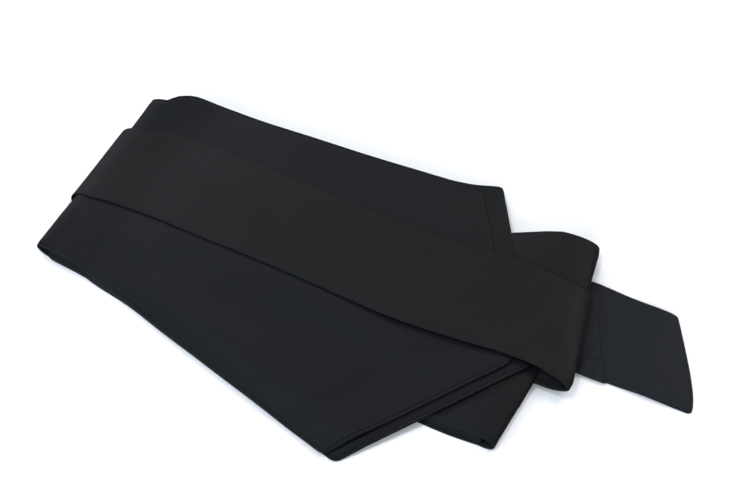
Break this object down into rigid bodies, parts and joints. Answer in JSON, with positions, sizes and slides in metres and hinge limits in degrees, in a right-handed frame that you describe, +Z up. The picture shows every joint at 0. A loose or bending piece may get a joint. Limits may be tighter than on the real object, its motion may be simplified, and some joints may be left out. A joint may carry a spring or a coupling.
{
  "type": "satin waist sash, folded flat",
  "caption": "Wide obi-style waist sash of black satin, folded once with its pointed ends together, its long ties wound round it and tucked under, lying flat.",
  "frame": {"origin": "middle of the folded sash's footprint, on the surface that it lies on", "axes": "+X runs from the panel's fold towards its points and the loose tie ends, +Y across the panel, +Z up"},
  "size_m": [0.452, 0.2424, 0.016],
  "materials": {
    "panel_satin": "black satin with a soft sheen, edge-stitched",
    "tie_satin": "black satin with a soft sheen, turned and pressed"
  },
  "bodies": {
    "root": {"panel_upper_leaf": "panel_satin", "panel_lower_leaf": "panel_satin", "hidden_layers": "tie_satin", "tie_over": "tie_satin", "tie_near_fold": "tie_satin", "tie_near_fold_upper": "tie_satin", "tie_far_loop": "tie_satin", "tail_long": "tie_satin", "tail_short": "tie_satin"}
  },
  "joints": []
}
